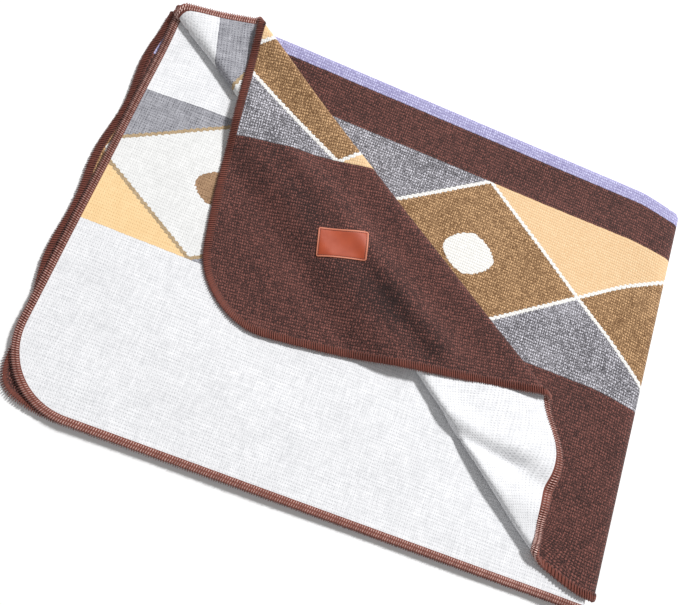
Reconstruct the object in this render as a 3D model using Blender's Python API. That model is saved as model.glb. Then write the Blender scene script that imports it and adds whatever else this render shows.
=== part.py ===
# Folded blanket of two-faced woven alpaca, with a leather label.
#
# The blanket is one cloth. A point of it is given by two flat coordinates: WIDTH runs from the
# near left hem, LENGTH from the near bottom hem, both in metres. It is folded in half at the top
# and again at the right, so four layers lie on each other, the dark face on top. The uppermost
# layer is then turned back along a lower crease and forward again along an upper crease, so its
# corner, which carries the label, lies askew on the second layer.
#
# Axes of the folded stack: +X to the fold at the right, +Y to the fold at the top, +Z up.

import math

import bmesh
import bpy
import numpy as np
from mathutils import Vector
from mathutils.geometry import delaunay_2d_cdt

# The flat cloth
CLOTH_WIDTH = 1.775
CLOTH_LENGTH = 1.30
CLOTH_THICKNESS = 0.003
CORNER_RADIUS = 0.11

# The stack of four layers. Half of the distance between two layers is HALF_GAP in the middle of
# the stack and swells to FOLD_HALF_GAP at the two folded sides.
HALF_GAP = 0.0025
FOLD_HALF_GAP = 0.0040
SWELL_REACH = 0.045
TOP_FOLD_START = 0.6325
RIGHT_FOLD_START = 0.873
TOP_BULGE = 1.3
RIGHT_BULGE = 1.4
STACK_CENTRE_X = 0.4367
STACK_CENTRE_Y = 0.3133

# The top edge rises towards the right by this share of the way along it
TOP_TILT = 0.025

# Soft waves of the whole stack: part of the half gap, and the waves' lengths
WAVE_SHARE = 0.07
WAVE_LENGTH_X = 0.31
WAVE_LENGTH_Y = 0.23

# The two creases of the uppermost layer, by their ends in flat coordinates
CREASES = {
    "lower": {"start": (0.000, 0.628), "end": (0.834, 0.000), "bow": 0.000},
    "upper": {"start": (0.000, 0.503), "end": (0.568, 0.000), "bow": -0.004},
}
CREASE_RADIUS = 0.0060
CREASE_REACH = 0.030
PLY_GAP = 0.0050

# Where the turned corner comes down from the lower crease to the second layer
DROP_START = 0.022
DROP_WIDTH = 0.060

# The ruffle of the turned-back part at the bottom hem, and the direction of its sideways shift
RUFFLE_SIDEWAYS = 0.020
RUFFLE_HEIGHT = 0.010
RUFFLE_REACH = 0.13
RUFFLE_TURN = math.radians(14.0)

# The scalloped left hems of the two lowest layers
SCALLOP = 0.0035
SCALLOP_REACH = 0.08
SCALLOP_LENGTH = 0.17

# How far the layers have slipped out of square: the lower ones at the upper left, the uppermost
# one at the lower right, all of them beside the right fold, the lower half at the lower left
# but for its tips, and the turned corner inward
LEFT_SLIP = 0.018
LEFT_SLIP_REACH = 0.08
LEFT_SLIP_START = 0.35
RIGHT_SLIP_X = -0.034
RIGHT_SLIP_Y = 0.028
RIGHT_SLIP_CENTRE = 0.816
RIGHT_SLIP_WIDTH = 0.059
RIGHT_SLIP_REACH = 0.050
RIGHT_SLIP_END = 0.08
FOLD_SLIP = 0.012
FOLD_SLIP_START = 0.803
FOLD_SLIP_WIDTH = 0.09
FOLD_SLIP_REACH = 0.25
LOWER_SLIP = 0.020
LOWER_SLIP_START = 0.28
TIP_SLIP = 0.030
TIP_SLIP_SHARE = 0.45
TIP_CENTRE = 0.03
TIP_SLIP_REACH = 0.040
CORNER_SLIP_X = 0.010
CORNER_SLIP_Y = 0.012
CORNER_SLIP_REACH = 0.13

# The label: centre in flat coordinates, size and turn
LABEL_CENTRE = (0.1994, 0.1621)
LABEL_SIZE = (0.075, 0.044)
LABEL_TURN = math.radians(7.3)
LABEL_THICKNESS = 0.0016
LABEL_CORNER = 0.004
CLEARANCE = 0.0005

# Spacing of the mesh's points, and how far they keep from the hem and from each other
LABEL_STEP = 0.009
EDGE_STEP = 0.024
GRID_STEP = 0.052
CREASE_STEP = 0.032
ROW_MARGIN = 0.004
GRID_MARGIN = 0.008
ROW_CLEARANCE = 0.021
NORMAL_STEP = 0.0001

# Rows of points across a crease or fold, and those beside it as shares of the swell's reach
TURN_ROWS = 6
FOLD_ROWS = 7
CREASE_OVERRUN = 0.05
CREASE_SWELL_ROWS = (0.5, 1.0, 1.7)
FOLD_SWELL_ROWS = (0.3, 0.8)
DROP_ROWS = (-0.5, 0.0, 0.25, 0.5, 0.75, 1.0)

COLOURS = {
    "blanket": {"colour": (0.12, 0.07, 0.06), "roughness": 0.92},
    "label": {"colour": (0.40, 0.13, 0.05), "roughness": 0.55},
}


def crease_coordinates(crease, a, b):
    """Return how far along a crease points lie, from 0 to 1, and how far past it, in metres."""
    (start_a, start_b), (end_a, end_b) = crease["start"], crease["end"]
    length = math.hypot(end_a - start_a, end_b - start_b)
    along_a = (end_a - start_a) / length
    along_b = (end_b - start_b) / length
    along = ((a - start_a) * along_a + (b - start_b) * along_b) / length
    past = (a - start_a) * along_b - (b - start_b) * along_a
    return along, past - crease["bow"] * np.sin(math.pi * along)


def crease_point(crease, along, past):
    """Return the flat coordinates of points given along and past a crease."""
    (start_a, start_b), (end_a, end_b) = crease["start"], crease["end"]
    length = math.hypot(end_a - start_a, end_b - start_b)
    along_a = (end_a - start_a) / length
    along_b = (end_b - start_b) / length
    offset = past + crease["bow"] * np.sin(math.pi * along)
    a = start_a + along * length * along_a + offset * along_b
    b = start_b + along * length * along_b - offset * along_a
    return a, b


def smooth_step(value):
    value = np.clip(value, 0.0, 1.0)
    return value * value * (3.0 - 2.0 * value)


def half_gap(x, y):
    """Half of the distance between two layers, over the stack's plan from its lower left."""
    near_top = np.exp(-((TOP_FOLD_START - y) / SWELL_REACH) ** 2)
    near_right = np.exp(-((RIGHT_FOLD_START - x) / SWELL_REACH) ** 2)
    near_top = np.where(y > TOP_FOLD_START, 1.0, near_top)
    near_right = np.where(x > RIGHT_FOLD_START, 1.0, near_right)
    level = (1.0 - near_top) * (1.0 - near_right)
    wave = np.sin(2 * math.pi * (x / WAVE_LENGTH_X + 0.4 * y)) * np.cos(2 * math.pi * y / WAVE_LENGTH_Y)
    return FOLD_HALF_GAP + (HALF_GAP - FOLD_HALF_GAP) * level + HALF_GAP * WAVE_SHARE * wave * level


def ply_lift(distance):
    """Height of a turned ply over the one below it, by the distance from their crease."""
    swell = np.exp(-(np.maximum(distance, 0.0) / CREASE_REACH) ** 2)
    return PLY_GAP + (2 * CREASE_RADIUS - PLY_GAP) * swell


def turn_back(a, b):
    """Fold the uppermost layer along its two creases; return its plan and its height over the layer."""
    lower, upper = CREASES["lower"], CREASES["upper"]
    turn_length = math.pi * CREASE_RADIUS

    # The upper crease, under which the corner is tucked while the layer is flat
    along, past = crease_coordinates(upper, a, b)
    on_corner = past > 0.0
    upper_angle = np.clip(past / CREASE_RADIUS, 0.0, math.pi)
    upper_distance = past - turn_length
    folded = np.where(past < turn_length, CREASE_RADIUS * np.sin(upper_angle), -upper_distance)
    tucked_a, tucked_b = crease_point(upper, along, folded)
    flat_a = np.where(on_corner, tucked_a, a)
    flat_b = np.where(on_corner, tucked_b, b)

    # The lower crease, over which all of that is laid back
    along, past = crease_coordinates(lower, flat_a, flat_b)
    turned = (past > 0.0) | on_corner
    lower_angle = np.clip(past / CREASE_RADIUS, 0.0, math.pi)
    lower_distance = past - turn_length
    in_turn = (past < turn_length) & ~on_corner
    folded = np.where(in_turn, CREASE_RADIUS * np.sin(lower_angle), -lower_distance)
    over_a, over_b = crease_point(lower, along, folded)
    x = np.where(turned, over_a, flat_a)
    y = np.where(turned, over_b, flat_b)

    # Heights of the turned-back part and of the corner on it
    middle_height = np.where(in_turn, CREASE_RADIUS * (1.0 - np.cos(lower_angle)), ply_lift(lower_distance))
    drop = smooth_step((-lower_distance - DROP_START) / DROP_WIDTH)
    under_corner = ply_lift(lower_distance) * (1.0 - drop) - PLY_GAP * drop
    corner_lift = np.where(upper_distance < 0.0, CREASE_RADIUS * (1.0 - np.cos(upper_angle)),
                           ply_lift(upper_distance))
    height = np.where(on_corner, under_corner + corner_lift, middle_height)
    height = np.where(turned, height, 0.0)
    return x, y, height, turned, on_corner


def ruffle(a, b, on_middle):
    """Return the sideways shift and the lift of the turned-back part near its bottom hem."""
    upper_past = crease_coordinates(CREASES["upper"], a, b)[1]
    lower_past = crease_coordinates(CREASES["lower"], a, b)[1]
    share = np.clip(-upper_past / (lower_past - upper_past + 1e-9), 0.0, 1.0)
    fade = np.where(on_middle, np.exp(-(b / RUFFLE_REACH) ** 2), 0.0)
    sideways = RUFFLE_SIDEWAYS * np.sin(2 * math.pi * share) * np.sin(math.pi * share) * fade
    lift = RUFFLE_HEIGHT * np.sin(math.pi * share) ** 2 * fade
    return sideways, lift


def fold_cloth(a, b):
    """Return the places in the folded stack of points of the flat cloth, as an array of x, y, z."""
    a = np.asarray(a, dtype=float)
    b = np.asarray(b, dtype=float)
    top_length = math.pi * FOLD_HALF_GAP * (1 + TOP_BULGE) / 2

    # The plan of the uppermost layer with its creases
    plan_x, plan_y, height, turned, on_corner = turn_back(a, b)
    sideways, lift = ruffle(a, b, turned & ~on_corner)
    flat = (b > TOP_FOLD_START) | (a > RIGHT_FOLD_START)
    plan_x = np.where(flat, a, plan_x + sideways * math.cos(RUFFLE_TURN))
    plan_y = np.where(flat, b, plan_y + sideways * math.sin(RUFFLE_TURN))
    height = np.where(flat, 0.0, height + lift)

    # Fold at the top: side is +1 on the outer half and -1 on the inner half
    top_angle = np.clip((plan_y - TOP_FOLD_START) / top_length, 0.0, 1.0) * math.pi
    top_angle = np.where(flat, top_angle, 0.0)
    below_top = 2 * TOP_FOLD_START + top_length - plan_y
    y_level = np.where(flat & (plan_y > TOP_FOLD_START + top_length), below_top, plan_y)
    side = np.cos(top_angle)

    # Fold at the right, wider for the outer half than for the inner half
    right_radius = (2 + side) * FOLD_HALF_GAP
    right_length = math.pi * right_radius * (1 + RIGHT_BULGE) / 2
    right_angle = np.clip((plan_x - RIGHT_FOLD_START) / right_length, 0.0, 1.0) * math.pi
    past_right = 2 * RIGHT_FOLD_START + right_length - plan_x
    x_level = np.where(plan_x > RIGHT_FOLD_START + right_length, past_right, plan_x)

    gap = half_gap(np.minimum(x_level, RIGHT_FOLD_START + 0.02), y_level)
    in_top = (top_angle > 0.0) & (top_angle < math.pi)
    y = np.where(in_top, TOP_FOLD_START + TOP_BULGE * gap * np.sin(top_angle), y_level)
    in_right = (right_angle > 0.0) & (right_angle < math.pi)
    bulge = RIGHT_BULGE * (2 + side) * gap * np.sin(right_angle)
    x = np.where(in_right, RIGHT_FOLD_START + bulge, x_level)
    z = CLOTH_THICKNESS / 2 + 3 * gap + (2 + side) * gap * np.cos(right_angle) + height

    # Layers that have slipped at the corners
    lower_past = crease_coordinates(CREASES["lower"], a, b)[1]
    loose = np.where(on_corner, 0.0, 1.0 - smooth_step(lower_past / (math.pi * CREASE_RADIUS)))
    slip_x, slip_y = slip(x, y, np.where(flat, 0.0, 1.0), np.where(flat, 1.0, loose))
    lower_half = np.where(right_angle < math.pi, 0.0, 1.0)
    from_tip = np.hypot(x - TIP_CENTRE, y - TIP_CENTRE)
    tips = lower_half * np.exp(-(from_tip / TIP_SLIP_REACH) ** 2) * (1.0 + TIP_SLIP_SHARE * side)
    beside_left = lower_half * np.exp(-(x / LEFT_SLIP_REACH) ** 2)
    drawn_right = LOWER_SLIP * beside_left * (1.0 - smooth_step(y / LOWER_SLIP_START))
    x = x + slip_x + drawn_right - TIP_SLIP * tips
    y = y + slip_y - TIP_SLIP * tips
    drawn_in = np.where(on_corner, np.exp(-(np.hypot(a, b) / CORNER_SLIP_REACH) ** 2), 0.0)
    x = x + CORNER_SLIP_X * drawn_in
    y = y + CORNER_SLIP_Y * drawn_in

    # The stack isn't quite square
    y = y + TOP_TILT * (x - RIGHT_FOLD_START / 2) * y / TOP_FOLD_START

    # Scalloped left hems of the lower half
    fade = np.where(right_angle < math.pi, 0.0, np.exp(-(x / SCALLOP_REACH) ** 2))
    x = x + SCALLOP * fade * np.sin(2 * math.pi * (y / SCALLOP_LENGTH + 0.3 * side))
    return np.stack([x - STACK_CENTRE_X, y - STACK_CENTRE_Y, z], axis=-1)


def slip(x, y, on_top, loose):
    """Return how far the layers have slipped in x and y, by whether they are on top and loose."""
    left = np.exp(-(x / LEFT_SLIP_REACH) ** 2) * loose
    left = left * smooth_step((y - LEFT_SLIP_START) / (TOP_FOLD_START - LEFT_SLIP_START))
    right = np.exp(-((x - RIGHT_SLIP_CENTRE) / RIGHT_SLIP_WIDTH) ** 2 - (y / RIGHT_SLIP_REACH) ** 2)
    right = right * smooth_step((RIGHT_FOLD_START - x) / RIGHT_SLIP_END) * on_top
    beside_fold = smooth_step((x - FOLD_SLIP_START) / FOLD_SLIP_WIDTH) * smooth_step(y / FOLD_SLIP_REACH)
    return RIGHT_SLIP_X * right, RIGHT_SLIP_Y * right - LEFT_SLIP * left - FOLD_SLIP * beside_fold


def face_normals(a, b):
    """Return the unit normals of the folded cloth's dark face."""
    along_width = fold_cloth(a + NORMAL_STEP, b) - fold_cloth(a - NORMAL_STEP, b)
    along_length = fold_cloth(a, b + NORMAL_STEP) - fold_cloth(a, b - NORMAL_STEP)
    normal = np.cross(along_width, along_length)
    return normal / np.linalg.norm(normal, axis=-1, keepdims=True)


def rounded_outline(width, length, radius, step):
    """Return points round a rectangle with round corners, anticlockwise, at the given step."""
    corners = [(width - radius, radius, -90), (width - radius, length - radius, 0),
               (radius, length - radius, 90), (radius, radius, 180)]
    arc_steps = max(2, round(radius * math.pi / 2 / step))
    points = []
    for number, (centre_a, centre_b, first) in enumerate(corners):
        for k in range(arc_steps + 1):
            angle = math.radians(first + 90 * k / arc_steps)
            points.append((centre_a + radius * math.cos(angle), centre_b + radius * math.sin(angle)))
        next_a, next_b, next_first = corners[(number + 1) % 4]
        target = (next_a + radius * math.cos(math.radians(next_first)),
                  next_b + radius * math.sin(math.radians(next_first)))
        last = points[-1]
        steps = max(1, round(math.dist(last, target) / step))
        for k in range(1, steps):
            points.append((last[0] + (target[0] - last[0]) * k / steps,
                           last[1] + (target[1] - last[1]) * k / steps))
    return points


def crease_rows():
    """Return the rows of points that follow the two creases and the drop beside the lower one."""
    turn_length = math.pi * CREASE_RADIUS
    turn = [turn_length * k / TURN_ROWS for k in range(TURN_ROWS + 1)]
    rows = []
    for crease in CREASES.values():
        length = math.dist(crease["start"], crease["end"])
        steps = round(length / CREASE_STEP)
        swell = [turn_length + CREASE_REACH * share for share in CREASE_SWELL_ROWS]
        for past in turn + swell:
            row = []
            for k in range(steps + 1):
                along = (1 + 2 * CREASE_OVERRUN) * k / steps - CREASE_OVERRUN
                row.append(crease_point(crease, along, past))
            rows.append(row)
    return rows + drop_rows()


def drop_rows():
    """Return rows of points on the turned corner, over the lower crease's drop."""
    lower, upper = CREASES["lower"], CREASES["upper"]
    turn_length = math.pi * CREASE_RADIUS
    length = math.dist(lower["start"], lower["end"])
    steps = round(length / CREASE_STEP)
    rows = []
    for share in DROP_ROWS:
        beyond = DROP_START + DROP_WIDTH * share
        row = []
        for k in range(steps + 1):
            laid_a, laid_b = crease_point(lower, k / steps, turn_length - beyond)
            along, past = crease_coordinates(upper, laid_a, laid_b)
            flat_a, flat_b = crease_point(upper, along, turn_length - past)
            if past < 0.0:
                row.append((flat_a, flat_b))
        rows.append(row)
    return rows


def fold_positions(start, length, rows):
    return [start + length * k / rows for k in range(rows + 1)]


def flat_grid():
    """Return grid points of the flat cloth, denser across the folds at the top and the right."""
    top_length = math.pi * FOLD_HALF_GAP * (1 + TOP_BULGE) / 2
    right_length = 3 * math.pi * FOLD_HALF_GAP * (1 + RIGHT_BULGE) / 2
    swell = [-SWELL_REACH * share for share in FOLD_SWELL_ROWS]
    widths = fold_positions(RIGHT_FOLD_START, right_length, FOLD_ROWS)
    widths += [RIGHT_FOLD_START + offset for offset in swell]
    widths += [RIGHT_FOLD_START + right_length - offset for offset in swell]
    lengths = fold_positions(TOP_FOLD_START, top_length, TURN_ROWS)
    lengths += [TOP_FOLD_START + offset for offset in swell]
    lengths += [TOP_FOLD_START + top_length - offset for offset in swell]
    for limit, dense in ((CLOTH_WIDTH, widths), (CLOTH_LENGTH, lengths)):
        low, high = min(dense), max(dense)
        for first, last in ((0.0, low), (high, limit)):
            steps = round((last - first) / GRID_STEP)
            dense += [first + (last - first) * k / steps for k in range(1, steps)]
    return sorted(widths), sorted(lengths)


def label_to_flat(u, v):
    """Return the flat coordinates of points of the label, given from its lower left corner."""
    across = u - LABEL_SIZE[0] / 2
    up = v - LABEL_SIZE[1] / 2
    a = LABEL_CENTRE[0] + across * math.cos(LABEL_TURN) - up * math.sin(LABEL_TURN)
    b = LABEL_CENTRE[1] + across * math.sin(LABEL_TURN) + up * math.cos(LABEL_TURN)
    return a, b


def label_bed():
    """Return a close grid of flat points under the label, so the cloth and it have one form."""
    columns = round(LABEL_SIZE[0] / LABEL_STEP)
    rows = round(LABEL_SIZE[1] / LABEL_STEP)
    points = []
    for i in range(-1, columns + 2):
        for j in range(-1, rows + 2):
            points.append(label_to_flat(LABEL_SIZE[0] * i / columns, LABEL_SIZE[1] * j / rows))
    return points


def clear_of_rows(point, rows_array, distance):
    return np.min(np.hypot(rows_array[:, 0] - point[0], rows_array[:, 1] - point[1])) > distance


def inside_outline(a, b, margin):
    """Tell whether a flat point lies inside the cloth by at least a margin."""
    half_width = CLOTH_WIDTH / 2 - CORNER_RADIUS
    half_length = CLOTH_LENGTH / 2 - CORNER_RADIUS
    out_a = max(abs(a - CLOTH_WIDTH / 2) - half_width, 0.0)
    out_b = max(abs(b - CLOTH_LENGTH / 2) - half_length, 0.0)
    return math.hypot(out_a, out_b) < CORNER_RADIUS - margin


def flat_triangles():
    """Return the flat cloth's points and triangles, with edges along every fold and crease."""
    outline = rounded_outline(CLOTH_WIDTH, CLOTH_LENGTH, CORNER_RADIUS, EDGE_STEP)
    points = list(outline)
    edges = []
    for row in crease_rows():
        kept = [point for point in row if inside_outline(point[0], point[1], ROW_MARGIN)
                and point[1] < TOP_FOLD_START - ROW_MARGIN]
        first = len(points)
        points += kept
        edges += [(first + k, first + k + 1) for k in range(len(kept) - 1)]
    bed = label_bed()
    points += bed
    rows_array = np.array(points[len(outline):])
    widths, lengths = flat_grid()
    near_fold = RIGHT_FOLD_START - SWELL_REACH
    for a in widths:
        for b in lengths:
            on_top_layer = a < near_fold and b < TOP_FOLD_START
            if not inside_outline(a, b, GRID_MARGIN):
                continue
            if on_top_layer and not clear_of_rows((a, b), rows_array, ROW_CLEARANCE):
                continue
            points.append((a, b))
    vectors = [Vector(point) for point in points]
    loop = [list(range(len(outline)))]
    result = delaunay_2d_cdt(vectors, edges, loop, 1, 1e-6)
    flat = np.array([tuple(point) for point in result[0]])
    return flat, [tuple(face) for face in result[2]]


def make_solid(name, flat, faces, place):
    """Make a closed solid: its upper side, its lower side and the rim between them."""
    upper, lower = place(flat[:, 0], flat[:, 1])
    mesh = bmesh.new()
    top = [mesh.verts.new(point) for point in upper]
    bottom = [mesh.verts.new(point) for point in lower]
    sides = {}
    for face in faces:
        mesh.faces.new([top[k] for k in face])
        mesh.faces.new([bottom[k] for k in reversed(face)])
        for k in range(3):
            sides[(face[k], face[(k + 1) % 3])] = True
    for first, second in sides:
        if (second, first) not in sides:
            mesh.faces.new([top[second], top[first], bottom[first], bottom[second]])
    bmesh.ops.triangulate(mesh, faces=[face for face in mesh.faces if len(face.verts) > 3])
    data = bpy.data.meshes.new(name)
    mesh.to_mesh(data)
    mesh.free()
    obj = bpy.data.objects.new(name, data)
    bpy.context.collection.objects.link(obj)
    obj.data.materials.append(make_material(name))
    return obj


def make_material(name):
    material = bpy.data.materials.new(name)
    material.use_nodes = True
    shader = material.node_tree.nodes["Principled BSDF"]
    shader.inputs["Base Color"].default_value = (*COLOURS[name]["colour"], 1.0)
    shader.inputs["Roughness"].default_value = COLOURS[name]["roughness"]
    return material


def make_blanket():
    flat, faces = flat_triangles()

    def place(a, b):
        middle = fold_cloth(a, b)
        offset = face_normals(a, b) * CLOTH_THICKNESS / 2
        return middle + offset, middle - offset

    return make_solid("blanket", flat, faces, place)


def make_label():
    """Make the label, a thin leather plate that lies on the turned corner's dark face."""
    width, height = LABEL_SIZE
    outline = rounded_outline(width, height, LABEL_CORNER, LABEL_STEP)
    columns = round(width / LABEL_STEP)
    rows = round(height / LABEL_STEP)
    inner = [(width * i / columns, height * j / rows) for i in range(1, columns) for j in range(1, rows)]
    vectors = [Vector(point) for point in outline + inner]
    result = delaunay_2d_cdt(vectors, [], [list(range(len(outline)))], 1, 1e-6)
    flat = np.array([tuple(point) for point in result[0]])
    faces = [tuple(face) for face in result[2]]

    def place(u, v):
        a, b = label_to_flat(u, v)
        middle = fold_cloth(a, b)
        normal = face_normals(a, b)
        under = CLOTH_THICKNESS / 2 + CLEARANCE
        return middle + normal * (under + LABEL_THICKNESS), middle + normal * under

    return make_solid("label", flat, faces, place)


def main():
    for obj in list(bpy.data.objects):
        bpy.data.objects.remove(obj, do_unlink=True)
    make_blanket()
    make_label()


main()
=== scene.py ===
# The looks of a folded blanket of two-faced woven alpaca with a leather label.
#
# A point of the cloth is given by two flat coordinates: WIDTH runs from the near left hem, LENGTH
# from the near bottom hem, both in metres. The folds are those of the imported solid, on a finer
# mesh, with soft creases, an overlocked hem and its stitches added. The figured dark face and the
# pale reverse are drawn from the flat coordinates, so the pattern follows every fold.
#
# Axes of the folded stack: +X to the fold at the right, +Y to the fold at the top, +Z up.

import math

import bpy
import numpy as np
from mathutils import Matrix, Vector
from mathutils.geometry import delaunay_2d_cdt
from mathutils.kdtree import KDTree


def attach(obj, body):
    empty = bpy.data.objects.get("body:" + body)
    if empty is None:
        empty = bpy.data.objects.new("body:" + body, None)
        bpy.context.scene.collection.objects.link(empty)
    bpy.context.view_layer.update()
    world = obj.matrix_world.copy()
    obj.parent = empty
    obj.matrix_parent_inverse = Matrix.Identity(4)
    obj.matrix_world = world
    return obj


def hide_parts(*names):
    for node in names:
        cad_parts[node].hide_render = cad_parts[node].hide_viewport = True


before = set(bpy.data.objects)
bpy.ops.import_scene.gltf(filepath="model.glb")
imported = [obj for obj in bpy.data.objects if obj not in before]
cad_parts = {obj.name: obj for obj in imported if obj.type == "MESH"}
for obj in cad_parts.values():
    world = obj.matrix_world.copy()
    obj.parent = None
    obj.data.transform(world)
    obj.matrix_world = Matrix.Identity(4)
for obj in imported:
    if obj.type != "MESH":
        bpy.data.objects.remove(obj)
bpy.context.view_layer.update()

# The flat cloth
CLOTH_WIDTH = 1.775
CLOTH_LENGTH = 1.30
CLOTH_THICKNESS = 0.003
CORNER_RADIUS = 0.11
CLOTH_SHAPE = (CLOTH_WIDTH, CLOTH_LENGTH, CORNER_RADIUS)

# The stack of four layers
HALF_GAP = 0.0025
FOLD_HALF_GAP = 0.0040
SWELL_REACH = 0.045
TOP_FOLD_START = 0.6325
RIGHT_FOLD_START = 0.873
TOP_BULGE = 1.3
RIGHT_BULGE = 1.4
TOP_TILT = 0.025
STACK_CENTRE_X = 0.4367
STACK_CENTRE_Y = 0.3133
WAVE_SHARE = 0.07
WAVE_LENGTH_X = 0.31
WAVE_LENGTH_Y = 0.23
WAVE_LEAN = 0.4
GAP_OVERRUN = 0.02
TOP_FOLD_LENGTH = math.pi * FOLD_HALF_GAP * (1 + TOP_BULGE) / 2
RIGHT_FOLD_LENGTH = 3 * math.pi * FOLD_HALF_GAP * (1 + RIGHT_BULGE) / 2

# The two creases of the uppermost layer: their ends in flat coordinates and how far they bow,
# then how the turned cloth rises at them and ruffles near its bottom hem
CREASES = {
    "lower": {"start": (0.000, 0.628), "end": (0.834, 0.000), "bow": 0.000},
    "upper": {"start": (0.000, 0.503), "end": (0.568, 0.000), "bow": -0.004},
}
CREASE_RADIUS = 0.0060
CREASE_TURN = math.pi * CREASE_RADIUS
CREASE_REACH = 0.030
PLY_GAP = 0.0050
DROP_START = 0.022
DROP_WIDTH = 0.060
RUFFLE_SIDEWAYS = 0.020
RUFFLE_HEIGHT = 0.010
RUFFLE_REACH = 0.13
RUFFLE_TURN = math.radians(14.0)
SCALLOP = 0.0035
SCALLOP_REACH = 0.08
SCALLOP_LENGTH = 0.17
SCALLOP_SHIFT = 0.3

# How far the layers have slipped out of square: the lower ones at the upper left, the uppermost
# one at the lower right, all of them beside the right fold, the lower half at the lower left
# but for its tips, and the turned corner inward
LEFT_SLIP = 0.018
LEFT_SLIP_REACH = 0.08
LEFT_SLIP_START = 0.35
RIGHT_SLIP_X = -0.034
RIGHT_SLIP_Y = 0.028
RIGHT_SLIP_CENTRE = 0.816
RIGHT_SLIP_WIDTH = 0.059
RIGHT_SLIP_REACH = 0.050
RIGHT_SLIP_END = 0.08
FOLD_SLIP = 0.012
FOLD_SLIP_START = 0.803
FOLD_SLIP_WIDTH = 0.09
FOLD_SLIP_REACH = 0.25
LOWER_SLIP = 0.020
LOWER_SLIP_START = 0.28
TIP_SLIP = 0.030
TIP_SLIP_SHARE = 0.45
TIP_CENTRE = 0.03
TIP_SLIP_REACH = 0.040
CORNER_SLIP_X = 0.010
CORNER_SLIP_Y = 0.012
CORNER_SLIP_REACH = 0.13

# Soft creases: the ends in flat coordinates, the width and the height of each
SOFT_CREASES = [
    {"start": (0.608, 0.165), "end": (0.655, 0.055), "width": 0.010, "height": -0.0068},
    {"start": (0.655, 0.055), "end": (0.690, 0.004), "width": 0.012, "height": -0.0055},
    {"start": (0.590, 0.170), "end": (0.630, 0.060), "width": 0.018, "height": 0.0045},
    {"start": (0.660, 0.150), "end": (0.715, 0.020), "width": 0.020, "height": 0.0035},
    {"start": (0.110, 0.275), "end": (0.165, 0.235), "width": 0.018, "height": 0.0055},
    {"start": (0.215, 0.190), "end": (0.370, 0.044), "width": 0.020, "height": 0.0085},
    {"start": (0.240, 0.135), "end": (0.335, 0.040), "width": 0.014, "height": -0.0035},
]

# Painted shade of the flap's soft folds: darker places, by their ends in flat coordinates
PAINTED_FOLD_SHADE = [
    {"start": (0.110, 0.233), "end": (0.155, 0.185), "width": 0.017, "depth": 0.16},
    {"start": (0.205, 0.128), "end": (0.280, 0.096), "width": 0.026, "depth": 0.24},
    {"start": (0.280, 0.096), "end": (0.352, 0.035), "width": 0.027, "depth": 0.26},
    {"start": (0.060, 0.330), "end": (0.085, 0.250), "width": 0.025, "depth": 0.08},
]

# The hem: how far it reaches in, the swell of the cloth in it, the round of its edge with the
# little that keeps the very edge open, and how far in its rows of points lie
HEM_WIDTH = 0.0115
HEM_SWELL = 0.0004
HEM_ROUND = 0.0022
HEM_EDGE_OPEN = 1.02
HEM_ROWS = (0.0, 0.0006, 0.0014, 0.0024, 0.0040, 0.0060, 0.0085, 0.0110, 0.0135, 0.0180)

# The overlock stitches round the hem, the yarn they are of, and the lowest place for their middles
STITCH_PITCH = 0.0034
STITCH_INSET = 0.0054
STITCH_REACH = 0.0058
STITCH_HEIGHT = 0.0019
STITCH_SLANT = math.radians(14.0)
STITCH_OPENING = math.radians(25.0)
STITCH_UNEVENNESS = math.radians(3.0)
STITCH_SEED = 7
YARN_WIDTH = 0.0046
YARN_THICKNESS = 0.0012
STITCH_LOWEST = STITCH_HEIGHT + 1.8 * YARN_THICKNESS
LOOP_POINTS = 9
YARN_SIDES = 6
LOOP_SMALLEST = 0.95
LOOP_LARGEST = 1.05

# The label: its centre in flat coordinates, its size and turn, its rounded edge, the line pressed
# into it, and how far in its rows of points lie
LABEL_CENTRE = (0.1994, 0.1621)
LABEL_SIZE = (0.075, 0.044)
LABEL_TURN = math.radians(7.3)
LABEL_THICKNESS = 0.0016
LABEL_CORNER = 0.003
LABEL_CLEARANCE = 0.0002
LABEL_ROUND = 0.0007
LABEL_GROOVE_INSET = 0.0028
LABEL_GROOVE_WIDTH = 0.0008
LABEL_GROOVE_DEPTH = 0.0003
LABEL_ROW_CORNER = 0.0004
LABEL_ROWS = (0.0, 0.0003, 0.0007, 0.0014, 0.0021, 0.0028, 0.0035, 0.0045)

# The label's sewing
THREAD_PITCH = 0.0030
THREAD_LENGTH = 0.0011
THREAD_HEIGHT = 0.0003
THREAD_WIDTH = 0.0009
SEWING_CORNER = LABEL_GROOVE_INSET + 0.001
THREAD_UNEVENNESS = math.radians(4.0)
THREAD_SEED = 3

# Spacing of the meshes' points: on the uppermost layer, the one below and the hidden ones, in the
# hem, along the creases and on the label, and how the points keep apart
TOP_STEP = 0.0065
SECOND_STEP = 0.0080
HIDDEN_STEP = 0.0150
HEM_STEP = 0.0055
CREASE_STEP = 0.0080
LABEL_STEP = 0.0030
TURN_ROWS = 9
CREASE_OVERRUN = 0.05
NORMAL_STEP = 0.0001
STAGGER = 0.25
CLEAR_SHARE = 0.5
MERGE_DISTANCE = 1e-7
LEAST_WIDTH = 1e-9

# The woven cells, their knots and holes, how softly the figures' edges step along them, and the
# scales of the yarns' wobble, fibres, wear, clouds and long thick threads
CELL_WIDTH = 0.0037
CELL_LENGTH = 0.0047
KNOT_FALL = 5.0
HOLE_START = 0.22
HOLE_RISE = 5.0
EDGE_SOFTNESS = 0.55
WOBBLE = 0.0018
WOBBLE_SCALE = 150.0
FIBRE_SCALE = 620.0
WEAR_SCALE = 90.0
CLOUD_SCALE = 16.0
SLUB_SCALE = 340.0
SLUB_STRETCH = 0.10

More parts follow.
